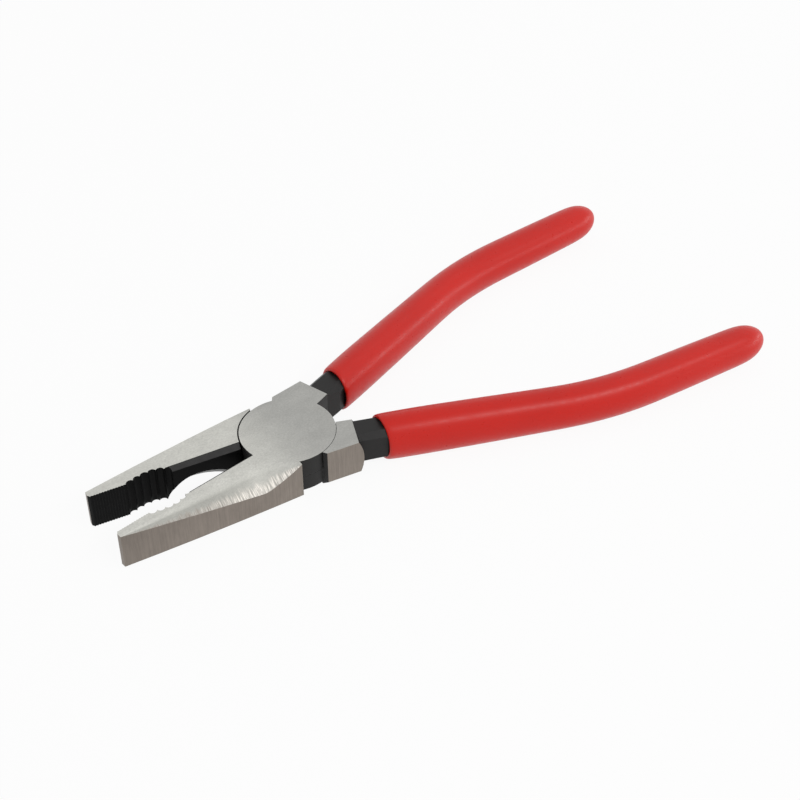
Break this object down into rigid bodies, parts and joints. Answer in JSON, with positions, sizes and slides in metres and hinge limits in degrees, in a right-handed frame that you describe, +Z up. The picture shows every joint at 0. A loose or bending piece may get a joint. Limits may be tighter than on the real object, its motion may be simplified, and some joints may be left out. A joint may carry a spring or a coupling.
{
  "type": "combination pliers",
  "caption": "Lap-joint combination pliers with flat grip, fluted pipe grip, side cutters and dipped handle grips, hinged jaws.",
  "frame": {"origin": "on the pivot axis, at the flat underside of the joint", "axes": "+Z up along the pivot axis through the joint; the jaws point to -X and the handles to +X; +Y is the side of the lower half's jaw"},
  "size_m": [0.1753, 0.0792, 0.0127],
  "materials": {
    "forged_steel": "ground bright on the broad faces, black oxide elsewhere",
    "rivet_steel": "ground flush with the joint",
    "red_vinyl": "smooth dipped vinyl, satin gloss"
  },
  "bodies": {
    "upper": {"upper_half": "forged_steel", "joint_rivet": "rivet_steel", "upper_half_grip": "red_vinyl"},
    "lower": {"lower_half": "forged_steel", "lower_half_grip": "red_vinyl"}
  },
  "joints": [
    {"name": "pivot", "type": "hinge", "parent": "upper", "child": "lower", "pos_m": [0, 0, 0], "axis": [0, 0, 1], "range_deg": [-29.5, 15.8]}
  ]
}
